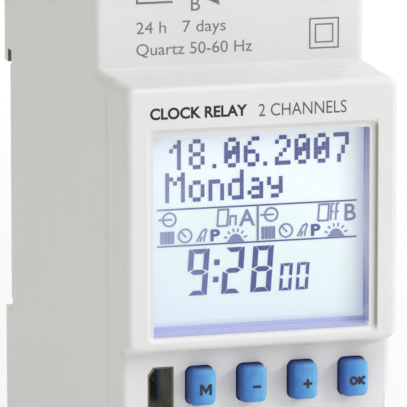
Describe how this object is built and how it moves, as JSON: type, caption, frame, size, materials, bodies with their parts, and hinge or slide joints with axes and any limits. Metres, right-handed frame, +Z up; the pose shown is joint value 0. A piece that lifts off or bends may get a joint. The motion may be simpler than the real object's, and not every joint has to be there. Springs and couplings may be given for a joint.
{
  "type": "din rail timer",
  "caption": "Modular DIN rail timer with a bevelled display window, a recessed strip of push buttons and a card slot, screw terminals on both shoulders and a sprung rail latch.",
  "frame": {"origin": "middle of the rail seat, on the plane where the base rests on the rail's flanges", "axes": "+X across the front to the right, +Y back through the rail, +Z up"},
  "size_m": [0.0358, 0.0631, 0.0935],
  "materials": {
    "casing_plastic": "fine satin, light grey",
    "base_plastic": "satin, light grey",
    "latch_plastic": "satin, grey",
    "clear_window": "clear, polished",
    "lcd_glass": "lit display, pale blue white",
    "frame_plastic": "satin, white",
    "guide_acrylic": "frosted acrylic",
    "contact_rubber": "matt silicone",
    "board_laminate": "lacquered laminate",
    "chip_plastic": "fine matt",
    "cell_steel": "polished steel",
    "button_blue": "satin gloss, blue",
    "plunger_plastic": "matt black",
    "socket_plastic": "matt, dark grey green",
    "contact_gold": "gold plated",
    "film_box": "satin, yellow",
    "can_sleeve": "shrink sleeve, black",
    "disc_lacquer": "lacquer, blue",
    "relay_plastic": "satin, black",
    "coil_copper": "enamelled copper wire",
    "soft_iron": "zinc plated iron",
    "contact_brass": "tinned brass",
    "block_plastic": "matt, grey",
    "spring_steel": "bright wire",
    "screw_steel": "zinc plated",
    "cage_steel": "zinc plated"
  },
  "bodies": {
    "casing": {"housing": "casing_plastic", "base_plate": "base_plastic", "front_cover": "casing_plastic", "display_window": "clear_window", "lcd_panel": "lcd_glass", "display_frame": "frame_plastic", "light_guide": "guide_acrylic", "contact_strips": "contact_rubber", "display_board": "board_laminate", "control_chip": "chip_plastic", "backup_cell": "cell_steel", "tact_switches": "chip_plastic", "card_socket": "socket_plastic", "card_contacts": "contact_gold", "power_board": "board_laminate", "link_board": "board_laminate", "film_capacitor": "film_box", "smoothing_capacitors": "can_sleeve", "surge_disc": "disc_lacquer", "relay_a_case": "relay_plastic", "relay_a_base": "relay_plastic", "relay_a_coil": "coil_copper", "relay_a_yoke": "soft_iron", "relay_a_contacts": "contact_brass", "relay_b_case": "relay_plastic", "relay_b_base": "relay_plastic", "relay_b_coil": "coil_copper", "relay_b_yoke": "soft_iron", "relay_b_contacts": "contact_brass", "terminal_block_upper": "block_plastic", "terminal_block_lower": "block_plastic", "terminal_bars": "contact_brass", "latch_spring": "spring_steel"},
    "latch": {"rail_latch": "latch_plastic"},
    "key_menu": {"button_menu": "button_blue", "plunger_menu": "plunger_plastic"},
    "key_minus": {"button_minus": "button_blue", "plunger_minus": "plunger_plastic"},
    "key_plus": {"button_plus": "button_blue", "plunger_plus": "plunger_plastic"},
    "key_ok": {"button_ok": "button_blue", "plunger_ok": "plunger_plastic"},
    "armature_a": {"relay_a_armature": "soft_iron"},
    "armature_b": {"relay_b_armature": "soft_iron"},
    "screw_1": {"terminal_screw_1": "screw_steel"},
    "cage_1": {"terminal_cage_1": "cage_steel"},
    "screw_2": {"terminal_screw_2": "screw_steel"},
    "cage_2": {"terminal_cage_2": "cage_steel"},
    "screw_3": {"terminal_screw_3": "screw_steel"},
    "cage_3": {"terminal_cage_3": "cage_steel"},
    "screw_4": {"terminal_screw_4": "screw_steel"},
    "cage_4": {"terminal_cage_4": "cage_steel"},
    "screw_5": {"terminal_screw_5": "screw_steel"},
    "cage_5": {"terminal_cage_5": "cage_steel"},
    "screw_6": {"terminal_screw_6": "screw_steel"},
    "cage_6": {"terminal_cage_6": "cage_steel"},
    "screw_7": {"terminal_screw_7": "screw_steel"},
    "cage_7": {"terminal_cage_7": "cage_steel"},
    "screw_8": {"terminal_screw_8": "screw_steel"},
    "cage_8": {"terminal_cage_8": "cage_steel"}
  },
  "joints": [
    {"name": "latch_slide", "type": "slide", "parent": "casing", "child": "latch", "axis": [0, 0, -1], "range_m": [0, 0.003], "stiffness_N_per_m": 900, "springref_m": -0.002, "deforming": ["latch_spring"]},
    {"name": "press_menu", "type": "slide", "parent": "casing", "child": "key_menu", "axis": [0, 1, 0], "range_m": [0, 0.0005], "stiffness_N_per_m": 400, "springref_m": -0.0005},
    {"name": "press_minus", "type": "slide", "parent": "casing", "child": "key_minus", "axis": [0, 1, 0], "range_m": [0, 0.0005], "stiffness_N_per_m": 400, "springref_m": -0.0005},
    {"name": "press_plus", "type": "slide", "parent": "casing", "child": "key_plus", "axis": [0, 1, 0], "range_m": [0, 0.0005], "stiffness_N_per_m": 400, "springref_m": -0.0005},
    {"name": "press_ok", "type": "slide", "parent": "casing", "child": "key_ok", "axis": [0, 1, 0], "range_m": [0, 0.0005], "stiffness_N_per_m": 400, "springref_m": -0.0005},
    {"name": "relay_a_switch", "type": "hinge", "parent": "casing", "child": "armature_a", "pos_m": [-0.0068, -0.0221, 0.0049], "axis": [-1, 0, 0], "range_deg": [0, 5], "stiffness_Nm_per_rad": 0.02, "springref_deg": -5.73},
    {"name": "relay_b_switch", "type": "hinge", "parent": "casing", "child": "armature_b", "pos_m": [0.0068, -0.0221, 0.0049], "axis": [-1, 0, 0], "range_deg": [0, 5], "stiffness_Nm_per_rad": 0.02, "springref_deg": -5.73},
    {"name": "screw_1_turn", "type": "hinge", "parent": "casing", "child": "screw_1", "pos_m": [-0.012, -0.035, 0.0372], "axis": [0, 1, 0], "range_deg": [0, 2401]},
    {"name": "cage_1_lift", "type": "slide", "parent": "casing", "child": "cage_1", "axis": [0, -1, 0], "range_m": [0, 0.004]},
    {"name": "screw_2_turn", "type": "hinge", "parent": "casing", "child": "screw_2", "pos_m": [-0.004, -0.035, 0.0372], "axis": [0, 1, 0], "range_deg": [0, 2401]},
    {"name": "cage_2_lift", "type": "slide", "parent": "casing", "child": "cage_2", "axis": [0, -1, 0], "range_m": [0, 0.004]},
    {"name": "screw_3_turn", "type": "hinge", "parent": "casing", "child": "screw_3", "pos_m": [0.004, -0.035, 0.0372], "axis": [0, 1, 0], "range_deg": [0, 2401]},
    {"name": "cage_3_lift", "type": "slide", "parent": "casing", "child": "cage_3", "axis": [0, -1, 0], "range_m": [0, 0.004]},
    {"name": "screw_4_turn", "type": "hinge", "parent": "casing", "child": "screw_4", "pos_m": [0.012, -0.035, 0.0372], "axis": [0, 1, 0], "range_deg": [0, 2401]},
    {"name": "cage_4_lift", "type": "slide", "parent": "casing", "child": "cage_4", "axis": [0, -1, 0], "range_m": [0, 0.004]},
    {"name": "screw_5_turn", "type": "hinge", "parent": "casing", "child": "screw_5", "pos_m": [-0.012, -0.035, -0.0372], "axis": [0, 1, 0], "range_deg": [0, 2401]},
    {"name": "cage_5_lift", "type": "slide", "parent": "casing", "child": "cage_5", "axis": [0, -1, 0], "range_m": [0, 0.004]},
    {"name": "screw_6_turn", "type": "hinge", "parent": "casing", "child": "screw_6", "pos_m": [-0.004, -0.035, -0.0372], "axis": [0, 1, 0], "range_deg": [0, 2401]},
    {"name": "cage_6_lift", "type": "slide", "parent": "casing", "child": "cage_6", "axis": [0, -1, 0], "range_m": [0, 0.004]},
    {"name": "screw_7_turn", "type": "hinge", "parent": "casing", "child": "screw_7", "pos_m": [0.004, -0.035, -0.0372], "axis": [0, 1, 0], "range_deg": [0, 2401]},
    {"name": "cage_7_lift", "type": "slide", "parent": "casing", "child": "cage_7", "axis": [0, -1, 0], "range_m": [0, 0.004]},
    {"name": "screw_8_turn", "type": "hinge", "parent": "casing", "child": "screw_8", "pos_m": [0.012, -0.035, -0.0372], "axis": [0, 1, 0], "range_deg": [0, 2401]},
    {"name": "cage_8_lift", "type": "slide", "parent": "casing", "child": "cage_8", "axis": [0, -1, 0], "range_m": [0, 0.004]}
  ],
  "couplings": [
    {"joint": "screw_1_turn", "follows": "cage_1_lift", "rad_per_m": 10472},
    {"joint": "screw_2_turn", "follows": "cage_2_lift", "rad_per_m": 10472},
    {"joint": "screw_3_turn", "follows": "cage_3_lift", "rad_per_m": 10472},
    {"joint": "screw_4_turn", "follows": "cage_4_lift", "rad_per_m": 10472},
    {"joint": "screw_5_turn", "follows": "cage_5_lift", "rad_per_m": 10472},
    {"joint": "screw_6_turn", "follows": "cage_6_lift", "rad_per_m": 10472},
    {"joint": "screw_7_turn", "follows": "cage_7_lift", "rad_per_m": 10472},
    {"joint": "screw_8_turn", "follows": "cage_8_lift", "rad_per_m": 10472}
  ]
}
